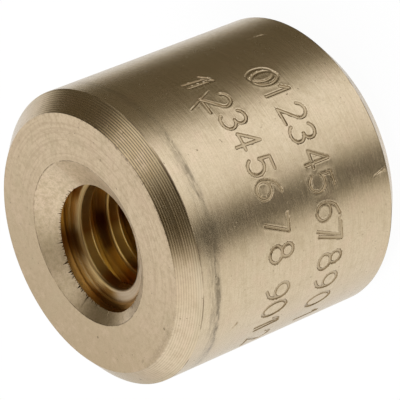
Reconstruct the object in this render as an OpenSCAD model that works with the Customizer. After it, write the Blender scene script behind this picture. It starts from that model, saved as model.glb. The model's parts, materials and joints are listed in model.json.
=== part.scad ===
// Lead screw nut: one plain cylinder turned from bronze bar, with a single-start
// right-hand trapezoidal thread, Tr 12x3, tapped right through it.
// It stands on its far end. The axis is Z and the countersunk end that is seen is on top.
// Every length is in millimetres and every angle is in degrees.

/* [Body] */
// Outside diameter, the seat that goes into a housing
body_d = 26; // [20:0.5:60]
// Length over the two faces, twice the screw's diameter
body_len = 24; // [12:0.5:80]
// Width of the 45 degree chamfer round each outer edge
chamfer = 1.6; // [0.2:0.1:2.5]

/* [Thread] */
// Nominal diameter of the screw
screw_d = 12; // [10:0.5:16]
// Pitch, which is also the lead because there is one start
pitch = 3; // [2:0.25:4]
// Diameter drilled before tapping, at the crests of the nut's thread
bore_d = 9.3; // [9:0.05:11]
// Clearance on radius between the screw's crests and the nut's roots
root_gap = 0.35; // [0.25:0.05:0.5]
// Flank angle, half of the angle between the two flanks
flank = 15; // [12:0.5:20]
// Turn about the axis at which the groove's middle crosses the lower face
thread_turn = 300; // [0:5:355]

/* [Countersink] */
// Diameter of the countersink where it meets each face
sink_d = 14.5; // [13.5:0.1:17]
// Included angle of the countersink, that of a common drill point
sink_angle = 118; // [90:2:140]

/* [Hidden] */
bore_r = bore_d / 2;
root_r = screw_d / 2 + root_gap;
// tooth and groove are equally wide at this radius
pitch_r = screw_d / 2 - pitch / 4;
sink_depth = (sink_d / 2 - bore_r) / tan(sink_angle / 2);
// flat steps in one turn of the groove
steps = 36;
// alternate quarters of the bore are this much deeper, see lands()
land_step = 0.002;

// half the groove's width at radius r
function groove_half(r) = pitch / 4 - (r - pitch_r) * tan(flank);

// One section of the groove, in the radial plane at angle a, round height z.
function groove_section(a, z, r_in, r_out) =
  let (c = cos(a), s = sin(a), h_in = groove_half(r_in), h_out = groove_half(r_out))
  [[r_in * c, r_in * s, z - h_in], [r_out * c, r_out * s, z - h_out],
   [r_out * c, r_out * s, z + h_out], [r_in * c, r_in * s, z + h_in]];

// The helical groove as a tool: trapezoid sections strung along the right-hand helix,
// from below the lower face to above the upper one. It starts inside the bore's wall.
module groove() {
  first = -ceil(1.5 * steps);
  last = ceil((body_len / pitch + 1.5) * steps);
  n = last - first;
  points = [for (i = [first:last])
    each groove_section(360 * i / steps + thread_turn, pitch * i / steps, bore_r - 0.35, root_r)];
  walls = [for (i = [0:n - 1], k = [0:3])
    let (a = 4 * i + k, b = 4 * i + (k + 1) % 4)
    each [[a, b, b + 4], [a, b + 4, a + 4]]];
  ends = [[3, 2, 1, 0], [4 * n, 4 * n + 1, 4 * n + 2, 4 * n + 3]];
  polyhedron(points, concat(walls, ends), convexity = 20);
}

// The turned blank: bar, outer chamfers, bore and both countersinks, in one revolve.
module blank() {
  r = body_d / 2;
  rotate_extrude($fn = 180)
    polygon([[bore_r, sink_depth], [sink_d / 2, 0], [r - chamfer, 0], [r, chamfer],
             [r, body_len - chamfer], [r - chamfer, body_len],
             [sink_d / 2, body_len], [bore_r, body_len - sink_depth]]);
}

// Two opposite quarters of the bore, deeper by land_step, which is far inside the bore's
// tolerance. It ends each crest face after a quarter turn, where one true cylinder would
// leave full turns of ribbon that nothing can be measured against.
module lands() {
  for (q = [0, 180])
    rotate([0, 0, q])
      rotate_extrude(angle = 90, $fn = 180)
        square([bore_r + land_step, body_len]);
}

module nut() {
  color([0.78, 0.68, 0.50])
    difference() {
      blank();
      lands();
      groove();
    }
}

nut();
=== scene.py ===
import json
import math
import random

import bmesh
import bpy
from mathutils import Matrix, Vector, kdtree
from mathutils.geometry import delaunay_2d_cdt


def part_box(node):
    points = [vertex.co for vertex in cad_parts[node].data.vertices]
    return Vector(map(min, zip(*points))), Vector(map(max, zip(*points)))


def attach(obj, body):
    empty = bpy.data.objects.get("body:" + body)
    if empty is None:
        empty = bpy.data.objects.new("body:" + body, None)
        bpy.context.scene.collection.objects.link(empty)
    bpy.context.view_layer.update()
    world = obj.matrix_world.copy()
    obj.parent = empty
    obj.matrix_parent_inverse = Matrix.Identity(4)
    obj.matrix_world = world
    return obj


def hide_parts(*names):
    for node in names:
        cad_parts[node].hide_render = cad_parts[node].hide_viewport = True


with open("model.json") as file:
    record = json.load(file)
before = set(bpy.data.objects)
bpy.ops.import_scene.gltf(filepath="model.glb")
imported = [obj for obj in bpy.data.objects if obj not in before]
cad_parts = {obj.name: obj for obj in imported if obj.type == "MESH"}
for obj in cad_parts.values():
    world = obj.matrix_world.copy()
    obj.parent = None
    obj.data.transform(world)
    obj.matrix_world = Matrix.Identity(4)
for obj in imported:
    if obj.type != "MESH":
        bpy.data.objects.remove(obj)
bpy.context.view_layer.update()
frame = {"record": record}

# ---- The turned blank ----
# The nut starts as a slug of bronze bar, turned and faced in a lathe. A form tool, fed by
# hand, leaves fine rings on its two 45 degree chamfers. Sizes here are in mm and degrees.
mm = 0.001
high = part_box("nut")[1]
length = high[2] / mm
barrel_r = high[0] / mm
turned_r = barrel_r - 0.018     # a little under, which leaves room for the lips round the stamping
chamfer = 1.6
face_r = barrel_r - chamfer
feed_rings = 11
lead_in = 0.2                   # share of a ring that stays plain before the first one
ring_depth = 0.0052, 0.0075
diagonal = 0.707                # how far a unit of depth goes along each axis on a 45 degree face
columns = 240                   # flat strips round the nut
seam_at = 90                    # where the columns begin, on the side away from the camera
same_spot = 2e-7                # in metres; points closer than this are one point
random.seed(5)


def spot_at(r, angle, z):
    """A radius and a height in mm, and an angle in radians, as a place in the scene."""
    return r * math.cos(angle) * mm, r * math.sin(angle) * mm, z * mm


def revolve(bm, profile):
    """Turns a profile of (radius, height) round the nut's axis."""
    angles = [math.radians(seam_at + 360 * i / columns) for i in range(columns)]
    rings = []
    for r, z in profile:
        if r == 0:
            rings.append([bm.verts.new((0, 0, z * mm))] * columns)
        else:
            rings.append([bm.verts.new(spot_at(r, a, z)) for a in angles])
    for a, b in zip(rings, rings[1:]):
        for i in range(columns):
            j = (i + 1) % columns
            corners = [a[i], a[j], b[j], b[i]]
            bm.faces.new([v for k, v in enumerate(corners) if v not in corners[:k]])


def end_profile():
    """One end, from the barrel's edge over the ringed chamfer to the middle of the face."""
    out = [(turned_r, chamfer)]
    for i in range(feed_rings):
        for part, depth in ((0.0, 0.0), (0.6, 0.0), (0.8, random.uniform(*ring_depth))):
            t = (i + part + lead_in) / (feed_rings + lead_in)
            out.append((barrel_r - chamfer * t - depth * diagonal, chamfer * (1 - t) + depth * diagonal))
    return out + [(r, 0.0) for r in (face_r, 10.6, 9.6, 8.6, 7.9, 5.0, 2.5, 0.0)]


blank = bmesh.new()
revolve(blank, end_profile())
revolve(blank, [(r, length - z) for r, z in end_profile()])

# ---- The barrel and its stamping ----
# Two rows of plain figures are struck into the turned barrel by hand with single
# punches, so they stand unevenly, some are struck twice and some fade to one side.
# A few small dents come from handling.
figure_w, figure_h = 1.5, 2.5
strike_depth = 0.095
stroke_w = 0.165                # half the width of a stroke
dent_w = 0.53                   # a dent's width as a share of a stroke's
lip_most, lip_share = 0.01, 0.14
finest = 0.04                   # steps along a stroke, and the cells that hold one point of the skin each
plain_edge = 0.2                # the skin beside each chamfer is left plain
wall_rows = 40


def arc(cx, cy, rx, ry, start, end):
    """Points on an arc of an ellipse, in the figure's own unit square."""
    steps = max(3, round(abs(end - start) / 14))
    turn = [math.radians(start + (end - start) * i / steps) for i in range(steps + 1)]
    return [(cx + rx * math.cos(a), cy + ry * math.sin(a)) for a in turn]


six = [[(0.86, 0.98)] + arc(1.05, 0.30, 1.05, 0.72, 130, 180) + arc(0.5, 0.30, 0.5, 0.30, 180, 540)]
figures = {
    "0": [arc(0.5, 0.5, 0.5, 0.5, 90, 450)],
    "1": [[(0.2, 0.74), (0.52, 1.0), (0.52, 0.0)]],
    "2": [arc(0.48, 0.72, 0.46, 0.28, 165, -35) + [(0.0, 0.0), (1.0, 0.0)]],
    "3": [arc(0.46, 0.76, 0.42, 0.24, 155, -80) + arc(0.46, 0.27, 0.5, 0.27, 80, -155)],
    "4": [[(0.72, 0.0), (0.72, 1.0), (0.0, 0.3), (1.0, 0.3)]],
    "5": [[(0.92, 1.0), (0.2, 1.0), (0.12, 0.56)] + arc(0.46, 0.33, 0.5, 0.33, 130, -150)],
    "6": six,
    "7": [[(0.0, 1.0), (1.0, 1.0), (0.35, 0.0)]],
    "8": [arc(0.5, 0.76, 0.38, 0.24, -90, 270), arc(0.5, 0.27, 0.5, 0.27, 90, 450)],
    "9": [[(1 - x, 1 - y) for x, y in line] for line in six],
}
runs = [    # height, figures, angle of the first figure, step to the next
    (14.05, "123456", -49, -9.6),
    (14.05, "78", -111, -10),
    (14.05, "9012", -137.5, -9.4),
    (8.55, "0123", -56, -9.0),
    (8.55, "45678901", -92, -10.4),
]
struck_twice = ((-49, 0), (-56, 0), (-137.5, 2), (-92, 3))      # a run's first angle, and the figure in it
dents = [   # each a line of (angle, height, depth)
    [(-58, 16.8, 0.03), (-55.5, 15.4, 0.06), (-53, 14.0, 0.01)],
    [(-107.5, 3.1, 0.01), (-106, 1.85, 0.06)],
    [(-33, 6.4, 0.0), (-34.5, 4.6, 0.05), (-35, 4.0, 0.0)],
    [(-150, 18.9, 0.0), (-146, 18.2, 0.05), (-144, 18.1, 0.0)],
    [(20, 9.0, 0.0), (24, 13.0, 0.06), (25, 14.5, 0.0)],
    [(-240, 15.0, 0.0), (-229, 16.5, 0.06), (-225, 16.8, 0.0)],
    [(64, 4.5, 0.0), (60, 6.0, 0.05), (59, 7.2, 0.0)],
]
dents = [[(barrel_r * math.radians(a), z, d) for a, z, d in line] for line in dents]


def struck(figure, angle, height, lean, depth, fade):
    """The strokes of one punched figure as lines of (way round the barrel, height, depth)."""
    c, s = math.cos(math.radians(lean)), math.sin(math.radians(lean))
    lines = []
    for line in figures[figure]:
        out = []
        for x, y in line:
            x, y = (x - 0.5) * figure_w, (y - 0.5) * figure_h
            deep = depth * max(0.0, 1 + fade[0] * x + fade[1] * y)
            out.append((barrel_r * math.radians(angle) - (c * x - s * y), height - (s * x + c * y), deep))
        lines.append(out)
    return lines


strikes = []
for height, text, first_at, spacing in runs:
    for i, figure in enumerate(text):
        angle = first_at + spacing * i + random.uniform(-0.8, 0.8)
        lean, lift = random.uniform(-5, 5), random.uniform(-0.12, 0.12)
        fade = (random.uniform(-0.45, 0.45), random.uniform(-0.2, 0.2))
        depth = strike_depth * random.uniform(0.75, 1.1)
        strikes += struck(figure, angle, height + lift, lean, depth, fade)
        if (first_at, i) in struck_twice:
            strikes += struck(figure, angle + 2.0, height + lift + 0.15, lean - 3, depth * 0.8, fade)


def walk(line, step):
    """Points every step along a line, each with the direction there."""
    out = []
    for (x0, y0), (x1, y1) in zip(line, line[1:]):
        run = math.hypot(x1 - x0, y1 - y0)
        if run < 1e-6:
            continue
        parts = max(1, round(run / step))
        way = (x1 - x0) / run, (y1 - y0) / run
        out += [(x0 + (x1 - x0) * i / parts, y0 + (y1 - y0) * i / parts, *way) for i in range(parts + 1)]
    return out


def depth_map(lines):
    """A search tree over the middle of the strokes, and the depth at each of its points."""
    spots = []
    for line in lines:
        for (u0, z0, d0), (u1, z1, d1) in zip(line, line[1:]):
            parts = max(1, round(math.hypot(u1 - u0, z1 - z0) / finest))
            for i in range(parts + 1):
                u, z = u0 + (u1 - u0) * i / parts, z0 + (z1 - z0) * i / parts
                spots.append((u, z, d0 + (d1 - d0) * i / parts))
    tree = kdtree.KDTree(len(spots))
    for i, (u, z, d) in enumerate(spots):
        tree.insert((u, z, 0), i)
    tree.balance()
    return tree, [d for u, z, d in spots]


cuts = [(*depth_map(strikes), 1.0, strikes), (*depth_map(dents), dent_w, dents)]


def skin_height(u, z):
    """How far the skin stands off its turned size: down in a flat-bottomed stroke, up in a small lip."""
    lowest, lip = 0.0, 0.0
    for tree, depths, width, _ in cuts:
        _, i, distance = tree.find((u, z, 0))
        d = distance / width
        if d < stroke_w:
            lowest = min(lowest, -depths[i] * (1 - (d / stroke_w) ** 3))
        elif d < 2 * stroke_w:
            lip = max(lip, min(lip_most, lip_share * depths[i]) * math.sin(math.pi * (d / stroke_w - 1)))
    return lowest if lowest < 0 else lip


def beside(line, d):
    """Points at a distance from a stroke: along both of its sides, and round its ends and sharp corners."""
    spots = []
    corners = [p[:2] for p in line]
    for u, z, tu, tz in walk(corners, 0.12):
        spots += [(u - tz * d, z + tu * d), (u + tz * d, z - tu * d)]
    for k, (u, z) in enumerate(corners):
        if 0 < k < len(corners) - 1:
            a, b = Vector(corners[k - 1]) - Vector((u, z)), Vector((u, z)) - Vector(corners[k + 1])
            if a.angle(b, 0) < 0.4:
                continue
        spots += [(u + d * math.cos(t * math.pi / 6), z + d * math.sin(t * math.pi / 6)) for t in range(12)]
    return spots


# the skin is laid out flat as (way round, height): its two edges, a plain grid, and the
# points beside each stroke; then it is meshed, and rolled round the barrel
around = 2 * math.pi * barrel_r
seam = barrel_r * math.radians(seam_at)
flat = []
for i in range(columns + 1):
    flat += [(seam - around * i / columns, chamfer), (seam - around * i / columns, length - chamfer)]
for j in range(1, wall_rows):
    z = chamfer + (length - 2 * chamfer) * j / wall_rows
    flat += [(seam, z), (seam - around, z)]
    for i in range(1, columns):
        u = seam - around * i / columns
        if all(tree.find((u, z, 0))[2] > 0.4 * width for tree, _, width, _ in cuts):
            flat.append((u, z))
taken = set()
for tree, _, width, lines in cuts:
    for line in lines:
        for share in (0.0, 0.3, 0.56, 0.8, 1.0, 1.4, 2.0):
            d = share * (width * stroke_w)
            for u, z in beside(line, d):
                cell = (round(u / finest), round(z / finest))
                if cell not in taken and tree.find((u, z, 0))[2] > d - 0.012 * width:
                    taken.add(cell)
                    flat.append((u, z))
points, _, triangles, *_ = delaunay_2d_cdt([Vector(p) for p in flat], [], [], 0, 1e-6)
skin = []
for u, z in points:
    edge = not chamfer + plain_edge < z < length - chamfer - plain_edge
    r = turned_r + (0 if edge else skin_height(u, z))
    skin.append(blank.verts.new(spot_at(r, u / barrel_r, z)))
for corner in triangles:
    blank.faces.new([skin[k] for k in corner])
bmesh.ops.remove_doubles(blank, verts=blank.verts, dist=same_spot)
bmesh.ops.recalc_face_normals(blank, faces=blank.faces)


def as_object(bm, name):
    """A bmesh as a new object in the scene."""
    mesh = bpy.data.meshes.new(name)
    bm.to_mesh(mesh)
    bm.free()
    piece = bpy.data.objects.new(name, mesh)
    bpy.context.scene.collection.objects.link(piece)
    return piece


nut = as_object(blank, "lead_nut")

# ---- The tapped thread ----
# A trapezoidal thread for a 12 mm screw, with 3 mm pitch, is cut through the bore by a
# tap. Its crests are what is left of the drilled hole, and its corners are slightly round.
screw = next(mount for mount in frame["record"]["mounts"] if mount["name"] == "screw")
crest_r = screw["dims"]["r_mm"]
screw_r, root_gap = 6.0, 0.35
root_r = screw_r + root_gap
pitch = 3.0
middle_r = screw_r - pitch / 4  # where tooth and groove are equally wide
flank = math.tan(math.radians(15))
thread_start = 300
corner_r = 0.32
ripple = [0.0, 0.008, -0.008, 0.026, -0.022, 0.012]     # steps that the tap's teeth leave on a flank
steps, turns, turns_below = 144, 13, 3      # flat steps in a turn, turns in all, turns below the lower face
past_end = 0.6                  # how far the tap goes beyond each face
one_point = 2e-6                # in metres; the thread's points closer than this are joined


class Wire:
    """One output of a node in a tree. Sums written on it add Math nodes to that tree."""

    def __init__(self, tree, socket=None):
        self.tree, self.socket = tree, socket

    def node(self, kind, settings, inputs, out=0):
        """Adds a node: its type, its settings, what its inputs hold, and which output to go on with."""
        made = self.tree.nodes.new(kind)
        for name, value in settings.items():
            setattr(made, name, value)
        for name, value in inputs.items():
            if isinstance(value, Wire):
                self.tree.links.new(value.socket, made.inputs[name])
            else:
                made.inputs[name].default_value = value
        return None if out is None else Wire(self.tree, made.outputs[out])

    def maths(self, operation, *values):
        return self.node("ShaderNodeMath", {"operation": operation}, dict(enumerate(values)))

    def vectors(self, operation, *values, out=0):
        """Vector maths. SCALE takes a vector and a number, the others take vectors."""
        names = (0, "Scale") if operation == "SCALE" else (0, 1)
        return self.node("ShaderNodeVectorMath", {"operation": operation}, dict(zip(names, values)), out)

    def joined(self, x, y, z):
        """A vector from three numbers."""
        return self.node("ShaderNodeCombineXYZ", {}, {"X": x, "Y": y, "Z": z})

    def part(self, axis):
        """The x, y or z of this vector, as 0, 1 or 2."""
        return self.node("ShaderNodeSeparateXYZ", {}, {0: self}, axis)

    def __add__(self, other):
        return self.maths("ADD", self, other)

    def __sub__(self, other):
        return self.maths("SUBTRACT", self, other)

    def __mul__(self, other):
        return self.maths("MULTIPLY", self, other)

    def __truediv__(self, other):
        return self.maths("DIVIDE", self, other)

    def __rsub__(self, other):
        return self.maths("SUBTRACT", other, self)

    def __rtruediv__(self, other):
        return self.maths("DIVIDE", other, self)

    __radd__, __rmul__ = __add__, __mul__


def new_material(name):
    """An empty material, and a wire to start its nodes from."""
    made = bpy.data.materials.new(name)
    made.use_nodes = True
    made.node_tree.nodes.clear()
    return made, Wire(made.node_tree)


def new_tree(name, inputs, output):
    """An empty geometry tree, and a wire from each of its named inputs."""
    tree = bpy.data.node_groups.new(name, "GeometryNodeTree")
    for label, kind in inputs.items():
        tree.interface.new_socket(label, in_out="INPUT", socket_type="NodeSocket" + kind)
    tree.interface.new_socket(output, in_out="OUTPUT", socket_type="NodeSocketGeometry")
    group = tree.nodes.new("NodeGroupInput")
    return tree, {s.name: Wire(tree, s) for s in group.outputs if s.name}


def close_tree(shape, finish):
    """Ends a geometry tree with real geometry in one material."""
    real = shape.node("GeometryNodeRealizeInstances", {}, {"Geometry": shape})
    done = shape.node("GeometryNodeSetMaterial", {}, {"Geometry": real, "Material": finish})
    shape.node("NodeGroupOutput", {}, {0: done}, None)


def freeze(piece):
    """Keeps what the modifiers make as the object's own mesh."""
    ready = piece.evaluated_get(bpy.context.evaluated_depsgraph_get())
    mesh = bpy.data.meshes.new_from_object(ready)
    piece.modifiers.clear()
    piece.data = mesh


def grow(piece, tree, values):
    """Runs a node tree on an object with these inputs, and keeps the mesh with its faces outwards."""
    modifier = piece.modifiers.new(tree.name, "NODES")
    modifier.node_group = tree
    ids = {s.name: s.identifier for s in tree.interface.items_tree if s.in_out == "INPUT"}
    for name, value in values.items():
        modifier[ids[name]] = value
    freeze(piece)
    bm = bmesh.new()
    bm.from_mesh(piece.data)
    bmesh.ops.recalc_face_normals(bm, faces=bm.faces)
    bm.to_mesh(piece.data)
    bm.free()


def half_gap(r):
    """Half the width of the thread's groove at a radius."""
    return pitch / 4 - (r - middle_r) * flank


def rounded(line, radius, parts=6):
    """A line of three points with its corner rounded."""
    a, b, c = (Vector(p) for p in line)
    start, end = (a - b).normalized(), (c - b).normalized()
    turn = math.pi - start.angle(end)
    back = radius * math.tan(turn / 2)
    p, q = b + start * back, b + end * back
    bend = []
    for k in range(parts + 1):
        t = k / parts
        bend.append(tuple((1 - t) * ((1 - t) * p + t * b) + t * ((1 - t) * b + t * q)))
    return [line[0]] + bend + [line[2]]


half = rounded([(crest_r, pitch / 2), (crest_r, half_gap(crest_r)), (root_r, half_gap(root_r))], corner_r)
top, foot = half[-2], half[-1]
spaces = len(ripple) + 1
half[-1:-1] = [
    (top[0] + (foot[0] - top[0]) * k / spaces, top[1] + (foot[1] - top[1]) * k / spaces + wave)
    for k, wave in enumerate(ripple, 1)
]
half += [(root_r, 0.0)]
outline = [(r, -z) for r, z in half] + [(r, z) for r, z in reversed(half[:-1])]
tooth = bmesh.new()
line = [tooth.verts.new((r * mm, 0, z * mm)) for r, z in outline]
for a, b in zip(line, line[1:]):
    tooth.edges.new((a, b))
core = as_object(tooth, "thread_core")

# the outline is swept up a helix, and what goes past the ends is drawn in to the axis
tree, given = new_tree("thread", {
    "Outline": "Geometry", "Pitch": "Float", "Turns": "Int", "Steps": "Int", "Start angle": "Float",
    "Start height": "Float", "Bottom": "Float", "Top": "Float", "Finish": "Material",
}, "Core")
here = Wire(tree)
count = here.node("GeometryNodeAttributeDomainSize", {"component": "MESH"}, {"Geometry": given["Outline"]})
rows = given["Turns"] * given["Steps"] + 1
grid = here.node("GeometryNodeMeshGrid", {}, {"Vertices X": rows, "Vertices Y": count})
index = here.node("GeometryNodeInputIndex", {}, {})
step = here.maths("FLOOR", (index + 0.5) / count)
place = here.node("GeometryNodeSampleIndex", {"data_type": "FLOAT_VECTOR", "domain": "POINT"}, {
    "Geometry": given["Outline"],
    "Value": here.node("GeometryNodeInputPosition", {}, {}),
    "Index": index - step * count,
})
z = place.part(2) + step / given["Steps"] * given["Pitch"] + given["Start height"]
inside = here.maths("GREATER_THAN", z, given["Bottom"]) * here.maths("LESS_THAN", z, given["Top"])
r = place.part(0) * inside
z = here.maths("MAXIMUM", here.maths("MINIMUM", z, given["Top"]), given["Bottom"])
angle = (step / given["Steps"] * (2 * math.pi) + given["Start angle"]) * inside
spot = here.joined(r * here.maths("COSINE", angle), r * here.maths("SINE", angle), z)
placed = here.node("GeometryNodeSetPosition", {}, {"Geometry": grid, "Position": spot})
merged = here.node("GeometryNodeMergeByDistance", {}, {"Geometry": placed, "Distance": one_point})
close_tree(merged, given["Finish"])
bronze, metal = new_material("turned_bronze")
grow(core, tree, {
    "Pitch": pitch * mm, "Turns": turns, "Steps": steps, "Start angle": math.radians(thread_start),
    "Start height": -turns_below * pitch * mm, "Bottom": -past_end * mm, "Top": (length + past_end) * mm,
    "Finish": bronze,
})

# ---- The countersinks ----
# Both ends of the bore are countersunk with a common drill point, after the thread is
# tapped, so the thread runs out through the cone.
sink_r, sink_angle = 7.25, 118
sink_slope = math.tan(math.radians(sink_angle / 2))
sink = [(r, (sink_r - r) / sink_slope) for r in (0.0, 3.0, sink_r, sink_r + 1.0)] + [(0.0, -1.0 / sink_slope)]


def cut_away(tool):
    """Cuts a tool's shape out of the nut, and removes the tool."""
    cut = nut.modifiers.new("cut", "BOOLEAN")
    cut.operation, cut.solver, cut.object = "DIFFERENCE", "MANIFOLD", tool
    freeze(nut)
    bpy.data.objects.remove(tool)


cut_away(core)
for name, profile in (("sink_low", sink), ("sink_high", [(r, length - z) for r, z in sink])):
    cone = bmesh.new()
    revolve(cone, profile)
    bmesh.ops.recalc_face_normals(cone, faces=cone.faces)
    cut_away(as_object(cone, name))

# ---- The torn edge ----
# Where a countersink runs out into the thread its cutter tears the thin edge. The torn
# edge is a row of short ragged nicks that point up the cone, close together in clumps.
runout_at, runout_turn = 3.6, 177       # the cone's edge goes from the crests to the roots over this turn
edge_at, edge_step, edge_points = 12, 2, 137
edge_inset = 0.05
clumps = [*range(15, 28), *range(43, 57), *range(91, edge_points)]
last_lone = 77                  # past this the edge is whole until the last clump
sharp_from = 15                 # corners of the finished nut that are steeper than this stay sharp
edge_line = bmesh.new()
for flip in (False, True):
    row = []
    for k in range(edge_points):
        turn_at = edge_at + edge_step * k
        climb = (turn_at - runout_at) / runout_turn * (root_r - crest_r)
        r_at = min(root_r, crest_r + climb) - edge_inset
        z_at = length - (sink_r - r_at) / sink_slope
        if flip:
            turn_at, z_at = 2 * thread_start - turn_at, length - z_at
        row.append(edge_line.verts.new(spot_at(r_at, math.radians(turn_at), z_at)))
    for i, (p, q) in enumerate(zip(row, row[1:])):
        if i in clumps or (i % 3 == 0 and i < last_lone):
            edge_line.edges.new((p, q))
comb = as_object(edge_line, "torn_edge")

tree, given = new_tree("torn_edge", {
    "Edge": "Geometry", "Spacing": "Float", "Width": "Float", "Shortest": "Float", "Longest": "Float",
    "Half height": "Float", "Share": "Float", "Seed": "Int", "Finish": "Material",
}, "Nicks")
here = Wire(tree)


def chance(low, high, offset):
    """A random number for each nick."""
    settings = {"data_type": "FLOAT"}
    return here.node("FunctionNodeRandomValue", settings, {2: low, 3: high, "Seed": given["Seed"] + offset}, 1)


curve = here.node("GeometryNodeMeshToCurve", {}, {"Mesh": given["Edge"]})
sampled = {"Curve": curve, "Length": given["Spacing"]}
curve = here.node("GeometryNodeResampleCurve", {"mode": "LENGTH"}, sampled)
spot = here.node("GeometryNodeInputPosition", {}, {})
up = here.maths("GREATER_THAN", spot.part(2), given["Half height"]) * 2 - 1
outward = here.vectors("NORMALIZE", here.vectors("MULTIPLY", spot, (1, 1, 0)))
way = here.vectors("ADD", here.vectors("SCALE", outward, sink_slope), here.joined(0, 0, up))
stray = here.node("FunctionNodeRandomValue", {"data_type": "FLOAT_VECTOR"}, {
    0: (-0.35, -0.35, 0.0), 1: (0.35, 0.35, 0.0), "Seed": given["Seed"],
}, 0)
way = here.vectors("ADD", way, stray)
lean = here.node("FunctionNodeAlignRotationToVector", {"axis": "Z"}, {"Vector": way})
kept = here.maths("LESS_THAN", chance(0.0, 1.0, 1), given["Share"])
reach = chance(0.0, 1.0, 2)
reach = given["Shortest"] + (given["Longest"] - given["Shortest"]) * reach * reach * reach
wide = chance(0.5, 1.0, 3) * given["Width"] / 2
nick = here.node("GeometryNodeMeshCone", {}, {
    "Vertices": 4, "Radius Top": 0.0, "Radius Bottom": 1.0, "Depth": 1.0,
})
nicks = here.node("GeometryNodeInstanceOnPoints", {}, {
    "Points": curve, "Selection": kept, "Instance": nick,
    "Rotation": lean, "Scale": here.joined(wide, wide, reach),
})
close_tree(nicks, given["Finish"])
grow(comb, tree, {
    "Spacing": 0.2 * mm, "Width": 0.3 * mm, "Shortest": 0.22 * mm, "Longest": 0.75 * mm,
    "Half height": length / 2 * mm, "Share": 0.85, "Seed": 3, "Finish": bronze,
})
cut_away(comb)
nut.data.materials.clear()
nut.data.materials.append(bronze)
nut.data.shade_smooth()
nut.data.set_sharp_from_angle(angle=math.radians(sharp_from))

# ---- The bronze ----
# Bronze as it left the lathe: bright under hairlines from the tool, with a smudge of
# dried cutting oil beside the chamfer and dirt at the corners. Shade in the strokes,
# rings and nicks, and light and shade in the bore, are painted into its colour.


def grain(vector, scale, detail=2.0, rough=0.5):
    """Noise from 0 to 1 over a vector in mm."""
    settings = {"Vector": vector, "Scale": scale, "Detail": detail, "Roughness": rough}
    return metal.node("ShaderNodeTexNoise", {}, settings, "Fac")


def ease(value, low, high, start_at=0.0, end_at=1.0):
    """Goes smoothly from one number to another as a value goes from low to high."""
    return metal.node("ShaderNodeMapRange", {"interpolation_type": "SMOOTHSTEP"}, {
        "Value": value, "From Min": low, "From Max": high, "To Min": start_at, "To Max": end_at,
    })


def near(value, middle, core, edge):
    """1 within core of the middle, going to 0 at edge."""
    return ease(metal.maths("ABSOLUTE", value - middle), edge, core)


def most(*masks):
    """The greatest of some masks."""
    out = masks[0]
    for mask in masks[1:]:
        out = metal.maths("MAXIMUM", out, mask)
    return out


def tint(mask, under, over):
    """One colour laid over another where the mask is 1."""
    return metal.node("ShaderNodeMix", {"data_type": "RGBA"}, {0: mask, 6: under, 7: over}, 2)


def coats(under, layers):
    """Layers of (mask, colour) laid one over another."""
    for mask, shade in layers:
        under = tint(mask, under, (*shade, 1))
    return under


def towards(angle):
    """How far a point lies from the axis towards an angle in degrees."""
    return x * math.cos(math.radians(angle)) + y * math.sin(math.radians(angle))


place = metal.vectors("SCALE", metal.node("ShaderNodeTexCoord", {}, {}, "Object"), 1 / mm)
x, y, z = place.part(0), place.part(1), place.part(2)
radius = metal.maths("SQRT", x * x + y * y)
off_end = metal.maths("MINIMUM", z, length - z)
upper = metal.maths("GREATER_THAN", z, length / 2)

# where each face is: the barrel's skin, the flat ends, the countersinks and the bore
on_barrel = ease(radius, barrel_r - 0.5, barrel_r - 0.3)
under_cone = off_end - (sink_r - radius) / sink_slope
in_bore = ease(under_cone, 0.08, 0.14) * ease(radius, sink_r - 0.25, sink_r - 0.45)
on_cone = ease(under_cone, 0.14, 0.08) * ease(radius, sink_r + 0.03, sink_r - 0.03)
on_chamfer = ease(radius, face_r - 0.02, face_r + 0.02) * ease(off_end, chamfer, chamfer - 0.02)
on_face = ease(off_end, 0.03, 0.01)
on_skin = on_barrel * ease(off_end, chamfer + 0.1, chamfer + 0.2)      # the barrel without its edges
normal = metal.node("ShaderNodeNewGeometry", {}, {}, "Normal")
outward = metal.vectors("NORMALIZE", metal.joined(x, y, 0.0))
facing = metal.vectors("DOT_PRODUCT", normal, outward, out="Value")

# degrees round the nut; the lower half is the upper one turned over
turn = metal.maths("ARCTAN2", y, x) / (2 * math.pi)
turn = metal.maths("FRACT", (turn + 1) * upper + (2 * thread_start / 360 - turn) * (1 - upper)) * 360

# grains, from hairlines round the barrel and rings on the ends to clouds and grit
turned = grain(metal.joined(x * 0.35, y * 0.35, z * 9), 1.0, 3, 0.6)
faced = grain(metal.joined(radius * 9, x * 0.25, y * 0.25), 1.0, 3, 0.6)
rings = ease(grain(metal.joined(radius * 4.5, x * 0.12, y * 0.12), 1.0, 2, 0.6), 0.45, 0.65)
cloud = grain(place, 0.16, 2, 0.5)
stain = grain(place, 0.55, 3, 0.6)
patch = grain(place, 1.1, 4, 0.6)
mottle = grain(place, 2.2, 2, 0.55)
fine = grain(place, 6.0, 3, 0.7)
grit = grain(place, 8.0, 2, 0.6)

# dark specks all over, and three larger pits in the upper end
speck = ease(grain(place, 3.4, 1, 0.4), 0.735, 0.775) * ease(fine, 0.4, 0.6)
for pit_r, pit_at in ((10.57, 213.5), (8.62, 151.7), (12.3, 171.4)):
    off_x = x - pit_r * math.cos(math.radians(pit_at))
    off_y = y - pit_r * math.sin(math.radians(pit_at))
    speck = most(speck, ease(off_x * off_x + off_y * off_y, 0.022, 0.004) * upper)

# the strokes' walls and floors, which are painted darker as painted shade
walls = on_skin * ease(facing, 0.97, 0.8)
stamped = on_skin * ease(radius, barrel_r - 0.025, barrel_r - 0.06)
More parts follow.
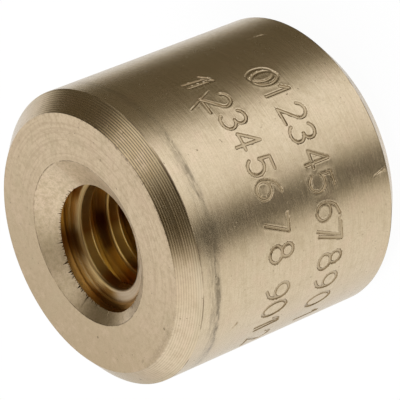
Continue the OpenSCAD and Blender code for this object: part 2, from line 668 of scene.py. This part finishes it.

# the feed rings of the chamfer are painted darker in their valleys as painted shade, more on one side; dark
# dirt lies along the edges
ring = metal.maths("FRACT", (1 - off_end / chamfer) * (feed_rings + lead_in) + 0.8)
heavy = 0.28 + 0.72 * near(turn, 300, 8, 30)
groove = on_chamfer * near(ring, 0.78, 0.1, 0.34) * ease(patch, 0.15, 0.5) * heavy
rim = near(radius, sink_r, 0.015, 0.07) * ease(off_end, 0.08, 0.04) * ease(grain(place, 1.6, 3, 0.6), 0.35, 0.6)
shoulder = near(radius, face_r, 0.04, 0.26) * ease(off_end, 0.2, 0.14)
shoulder = shoulder * ease(grain(place, 2.8, 3, 0.7), 0.5, 0.62) * (0.3 + 0.7 * near(turn, 292, 18, 45))
corner = near(off_end, chamfer, 0.02, 0.08) * on_barrel * ease(grain(place, 0.3, 3, 0.6), 0.42, 0.6)
darker = near(off_end, chamfer - 0.07, 0.05, 0.1) * ease(radius, barrel_r - 0.5, barrel_r - 0.4)
corner = most(corner, darker * near(turn, 281, 4, 12))
scuff = on_face * near(radius, 11.05, 0.05, 0.4) * near(turn, 204, 8, 20) * ease(fine, 0.3, 0.6)
dirt = most(rim, shoulder, corner, scuff * 0.35)

# a smudged ring of dried cutting oil beside the chamfer, and one blotch in it
drift = (grain(metal.joined(x * 0.12, y * 0.12, z * 0.15), 1.0, 2) - 0.5) * 1.6
patchy = ease(grain(metal.joined(x * 0.8, y * 0.8, z * 2.5), 1.0, 4, 0.7), 0.42, 0.6)
streak = ease(grain(metal.joined(x * 0.5, y * 0.5, z * 4), 1.0, 5, 0.75), 0.42, 0.62)
band = near(z + drift, 20.65, 0.12, 0.4) * (0.25 + 0.75 * patchy)
smear = near(z + drift, 20.9, 0.3, 0.9) * streak * 0.6
blotch = near(turn, 254.5, 3, 11) * near(z, 20.9, 0.4, 1.3) * ease(grit, 0.3, 0.55)
smudge = on_barrel * ease(towards(-118) / radius, 0.2, 0.95, 0.3, 1.0) * most(band, smear)
smudge = most(smudge, on_barrel * blotch * 0.8)

# the countersink breaks out into the thread along a torn, dirty edge; the shadow under the edge and the shade
# in its nicks are painted
edge_r = metal.node("ShaderNodeMapRange", {}, {
    "Value": turn, "From Min": runout_at, "From Max": runout_at + runout_turn,
    "To Min": crest_r, "To Max": root_r,
})
combed = ease(grain(metal.joined(x * 3.2, y * 3.2, 0.0), 1.0, 2, 0.6), 0.42, 0.62)
torn = on_cone * ease(radius - edge_r, 0.7, 0.0) * combed * near(turn, 105, 25, 60)
# painted shadow in the bore under the torn edge
lip = in_bore * ease(under_cone, 0.75, 0.2) * (0.4 + 0.6 * combed) * near(turn, 80, 45, 75)
off_slope = metal.maths("ABSOLUTE", facing + math.cos(math.radians(sink_angle / 2)))
# painted shade on the walls of the nicks
nick_shade = on_cone * ease(radius, sink_r - 0.1, sink_r - 0.15) * ease(off_slope, 0.05, 0.12)
nick_shade = nick_shade * near(turn, 120, 95, 125)

# the bore is light and dark in stretches, as its walls mirror each other; these are
# painted reflections and painted shade, plain patches by place: the first turn, the turns
# below it, the roots between them, and the corners of the crests
lead = off_end + turn / 360 * pitch
below = ease(lead, 3.36, 3.48)
leaning = near(turn + (radius - 5.6) * 10, 114, 8, 27)
first_turn_lit = most(near(turn, 57, 8, 22), leaning, ease(turn, 195, 225))
first_turn_lit = most(first_turn_lit, ease(radius, 5.9, 5.4) * ease(turn, 148, 168, 0.0, 0.8))
first_turn_lit = most(first_turn_lit, ease(radius, 5.15, 4.95) * (1 - 0.85 * near(turn, 98, 16, 32)))
lower_turns_lit = most(ease(turn, 95, 35), near(turn, 104, 12, 34), ease(turn, 190, 225, 0.0, 0.9))
# painted shade: a dark patch on the first turn's flank
painted_dark_patch = near(turn, 84, 12, 24) * near(off_end, 5.5, 0.9, 1.6) * ease(radius, 4.8, 5.2) * ease(radius, 6.25, 5.95)
# painted shade in the roots, and how strongly the crests' corners are painted darker
root_shade = ease(radius, 6.12, 6.3) * (near(turn, 104, 46, 62) * (1 - below) + below * 0.35)
crest_shade = 0.4 + 0.4 * below + 0.5 * (1 - below) * near(turn, 98, 12, 28)
# painted reflections: the bright and dark stretches of the first turn and of the turns below
painted_glint = tint(ease(radius, 5.1, 5.6) * ease(turn, 100, 85), (0.86, 0.65, 0.31, 1), (0.86, 0.61, 0.21, 1))
painted_glint = tint(ease(turn, 142, 165), painted_glint, (0.68, 0.56, 0.41, 1))
first_turn_painted_light = tint(first_turn_lit, (0.30, 0.14, 0.021, 1), painted_glint)
lower_turns_painted_light = tint(lower_turns_lit, (0.45, 0.17, 0.01, 1), (0.92, 0.68, 0.23, 1))
# over them go painted shade in the roots, on the crests' corners, where the first turn meets the next, in the
# dark patch, on the third turn and under the torn edge, with the faced grain
bore_colour_and_painted_light = coats(tint(below, first_turn_painted_light, lower_turns_painted_light), [
    (root_shade * 0.68, (0.21, 0.098, 0.010)),
    (ease(faced, 0.4, 0.65) * 0.25 * (1 - near(turn, 112, 8, 16)), (0.36, 0.22, 0.063)),
    (near(radius, 4.82, 0.08, 0.16) * crest_shade, (0.29, 0.16, 0.047)),
    (near(radius, 4.79, 0.03, 0.1) * below * 0.6, (0.18, 0.090, 0.016)),
    (ease(radius, 4.95, 4.75) * near(lead, 3.38, 0.12, 0.3) * 0.75, (0.15, 0.085, 0.03)),
    (painted_dark_patch * 0.75, (0.12, 0.030, 0.006)),
    (ease(lead, 7.25, 7.6) * 0.28, (0.18, 0.067, 0.000)),
    (lip * 0.6, (0.13, 0.067, 0.016)),
])

# the metal's own colour, then the grains, then what lies on it, and painted shade; one side
# of the face is painted darker, as painted shade
shaded_side = ease(towards(-50) / barrel_r, 0.5, -0.9)
mottled = 0.4 + on_cone * 0.2 - on_barrel * 0.25 - on_chamfer * 0.2
dusty = 0.3 - on_face * 0.14 - on_barrel * 0.15 - on_chamfer * (0.25 - on_barrel * 0.13)
gritty = 0.5 - on_face * 0.3 - on_barrel * 0.25 - on_chamfer * (0.4 - on_barrel * 0.2)
colour = coats(tint(ease(cloud, 0.3, 0.7), (0.57, 0.44, 0.28, 1), (0.60, 0.48, 0.32, 1)), [
    (ease(patch, 0.45, 0.75) * 0.6, (0.56, 0.42, 0.28)),
    (on_barrel * 0.45, (0.60, 0.50, 0.34)),
    (on_cone * 0.5, (0.63, 0.49, 0.33)),
    # painted shade on one side of the chamfer
    (on_chamfer * near(turn, 285, 22, 44) * 0.5, (0.40, 0.29, 0.14)),
    # painted shade on one side of the countersink
    (on_cone * near(turn, 105, 32, 60) * 0.3, (0.40, 0.31, 0.19)),
    (on_face * 0.6, (0.65, 0.51, 0.35)),
    # painted shade on one side of the face
    (on_face * shaded_side * 0.85, (0.44, 0.33, 0.20)),
    (ease(stain, 0.5, 0.72) * 0.6, (0.51, 0.41, 0.26)),
    (ease(stain, 0.5, 0.3) * 0.45, (0.60, 0.45, 0.31)),
    (ease(mottle, 0.42, 0.68) * mottled, (0.42, 0.32, 0.19)),
    (ease(fine, 0.38, 0.7) * dusty, (0.39, 0.30, 0.18)),
    (ease(grit, 0.45, 0.7) * gritty, (0.34, 0.26, 0.17)),
    (ease(turned, 0.35, 0.7) * on_barrel * 0.3, (0.40, 0.31, 0.18)),
    (rings * on_face * (1 - shaded_side) * 0.35, (0.39, 0.29, 0.18)),
    (smudge * 0.75, (0.13, 0.10, 0.060)),
    # painted shade in the strokes, on their floors and more on their walls
    (stamped * 0.55, (0.30, 0.22, 0.12)),
    (walls * 0.7, (0.16, 0.100, 0.040)),
    # painted shade in the valleys of the chamfer's feed rings
    (groove * 0.78, (0.13, 0.094, 0.051)),
    (dirt * 0.75, (0.16, 0.11, 0.063)),
    (torn * 0.5, (0.22, 0.16, 0.097)),
    (on_cone * near(turn, 265, 42, 66) * ease(stain, 0.6, 0.4) * 0.8, (0.65, 0.51, 0.35)),
])
colour = tint(in_bore * 0.95, colour, bore_colour_and_painted_light)
# painted shade in the nicks of the torn edge, then dark specks
colour = coats(colour, [
    (nick_shade * 0.85, (0.091, 0.056, 0.023)),
    (speck * 0.65, (0.14, 0.100, 0.051)),
])

rough = cloud * 0.04 + patch * 0.06 + fine * (0.05 - on_chamfer * 0.04) + smudge * 0.04 + walls * 0.1
rough = rough + on_cone * 0.04 + on_cone * near(turn, 285, 60, 100) * 0.25 + in_bore * 0.1 + 0.18
height = turned * on_barrel * (1 - on_chamfer) * 0.012
height = height + faced * (1 - on_barrel) * (1 - in_bore) * (1 - on_chamfer * 0.8) * 0.003
height = height + faced * in_bore * 0.012
height = height + fine * (0.0008 + on_barrel * 0.0008 - on_chamfer * 0.0013) - speck * 0.006
bump = metal.node("ShaderNodeBump", {}, {"Strength": 1.0, "Distance": mm, "Height": height})
shader = metal.node("ShaderNodeBsdfPrincipled", {}, {
    "Base Color": colour, "Metallic": 1.0, "Roughness": rough, "Normal": bump,
})
metal.node("ShaderNodeOutputMaterial", {}, {"Surface": shader}, None)

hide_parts("nut")
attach(nut, "root")

# ---- The camera ----
# A long lens looks down at the nut's upper end from about 0.29 m away, with the camera
# rolled well over, so that the nut lies askew in the picture.
elevation, roll = math.radians(34.54), math.radians(-112.39)
stands_at = Vector((-0.195, -235.99, 174.27)) * mm
to_camera = Vector((0, -math.cos(elevation), math.sin(elevation)))
side, over = Vector((1, 0, 0)), Vector((0, math.sin(elevation), math.cos(elevation)))
right = math.cos(roll) * side + math.sin(roll) * over
top = to_camera.cross(right)
view = bpy.data.cameras.new("camera")
view.sensor_width, view.lens, view.clip_start = 36, 303.0, 0.01
camera = bpy.data.objects.new("camera", view)
camera.matrix_world = Matrix.Translation(stands_at) @ Matrix((right, top, to_camera)).transposed().to_4x4()
bpy.context.scene.collection.objects.link(camera)
bpy.context.scene.camera = camera

# ---- The paper floor ----
# White paper under the nut, a hair below it so that the two never share a plane. To the
# camera it is almost all plain white light, with a trace of matt paper.
floor_gap = 0.03
floor_half = 3                  # in metres


def seen(start):
    """1 for rays from the camera, mirrored ones and ones that pass through, 0 for the rest."""
    rays = ("Is Camera Ray", "Is Glossy Ray", "Is Transmission Ray")
    camera_ray, mirrored, passed = (start.node("ShaderNodeLightPath", {}, {}, ray) for ray in rays)
    return camera_ray + mirrored + passed


floor_mesh = bmesh.new()
below_nut = Matrix.Translation((0, 0, -floor_gap * mm))
bmesh.ops.create_grid(floor_mesh, x_segments=1, y_segments=1, size=floor_half, matrix=below_nut)
floor = as_object(floor_mesh, "studio_floor")
paper, sheet = new_material("studio_paper")
white = sheet.node("ShaderNodeEmission", {}, {"Color": (1, 1, 1, 1), "Strength": 1.0})
matt = sheet.node("ShaderNodeBsdfDiffuse", {}, {"Color": (0.8, 0.8, 0.8, 1)})
mix = sheet.node("ShaderNodeMixShader", {}, {0: seen(sheet) * 0.965, 1: matt, 2: white})
sheet.node("ShaderNodeOutputMaterial", {}, {"Surface": mix}, None)
floor.data.materials.append(paper)
floor.visible_glossy = False

# ---- The light tent ----
# A tent of white cloth stands round the nut. Cards and softboxes hang on it, each where
# the metal mirrors it to the camera from a face of the tilt and the turn given here.
tent_r = 1.5                    # in metres
cards = [   # tilt and turn of that face, the card's reach and soft edge, and how dark it is (bright below 0)
    (20, -67, 50, 15, -0.4),    # a softbox to the right of the camera
    (33, -140, 55, 15, -0.2),   # a softbox to the left of it
    (0, -41, 35, 12, 0.85),     # a wide card that darkens one side of the barrel
    (0, -103, 13, 7, 0.97),     # a narrow one that shows as a band across the barrel
    (48, -28, 31, 9, 0.88),     # a card for the chamfer above the wide one
    (45, -190, 24, 12, 0.22),   # a seam in the tent, dimmer than its cloth
    (48, -92, 24, 10, 0.93),    # the dark opening for the camera, in the chamfer's middle
]
dimmest = 0.02
warmth = 1.09, 1.32             # the dark cards are brown rather than grey: green and blue fall faster
tent_mesh = bmesh.new()
bmesh.ops.create_uvsphere(tent_mesh, u_segments=48, v_segments=24, radius=tent_r)
tent = as_object(tent_mesh, "light_tent")
cloth, weave = new_material("tent_cloth")
toward = weave.vectors("NORMALIZE", weave.node("ShaderNodeTexCoord", {}, {}, "Object"))
light = None
for tilt, turn_at, reach, soft, dark in cards:
    tilt, turn_at = math.radians(tilt), math.radians(turn_at)
    face = Vector((math.cos(tilt) * math.cos(turn_at), math.cos(tilt) * math.sin(turn_at), math.sin(tilt)))
    aim = 2 * face.dot(to_camera) * face - to_camera
    off = weave.maths("ARCCOSINE", weave.vectors("DOT_PRODUCT", toward, aim, out="Value"))
    shade = weave.node("ShaderNodeMapRange", {"interpolation_type": "SMOOTHSTEP"}, {
        "Value": off, "From Min": math.radians(reach - soft), "From Max": math.radians(reach + soft),
        "To Min": 1 - dark, "To Max": 1.0,
    })
    light = shade if light is None else light * shade
light = weave.maths("MAXIMUM", light, dimmest)
green, blue = (weave.maths("POWER", light, power) for power in warmth)
tone = weave.node("ShaderNodeCombineColor", {}, {0: light, 1: green, 2: blue})
glow = weave.node("ShaderNodeEmission", {}, {"Color": tone, "Strength": 1.0})
weave.node("ShaderNodeOutputMaterial", {}, {"Surface": glow}, None)
cloth.cycles.emission_sampling = "NONE"
tent.data.materials.append(cloth)
tent.visible_camera = tent.visible_diffuse = tent.visible_shadow = False

# ---- The room light ----
# The room behind the tent is white, and gives less soft light than it seems to. A round
# softbox hangs over the nut, and nothing mirrors it. Places and sizes are in metres.
world = bpy.data.worlds.new("studio_air")
bpy.context.scene.world = world
world.use_nodes = True
world.node_tree.nodes.clear()
air = Wire(world.node_tree)
strength = air.maths("MINIMUM", seen(air), 1.0) * 0.4 + 0.6
back = air.node("ShaderNodeBackground", {}, {"Color": (1, 1, 1, 1), "Strength": strength})
air.node("ShaderNodeOutputWorld", {}, {"Surface": back}, None)

lamp = bpy.data.lights.new("overhead_softbox", "AREA")
lamp.shape, lamp.size, lamp.energy = "DISK", 0.5, 4.0
lamp_piece = bpy.data.objects.new("overhead_softbox", lamp)
lamp_piece.location = (-0.15, 0.1, 0.6)
lamp_piece.rotation_euler = Vector(lamp_piece.location).to_track_quat("Z", "Y").to_euler()
lamp_piece.visible_glossy = False
bpy.context.scene.collection.objects.link(lamp_piece)
bpy.context.scene.view_settings.view_transform = "Standard"
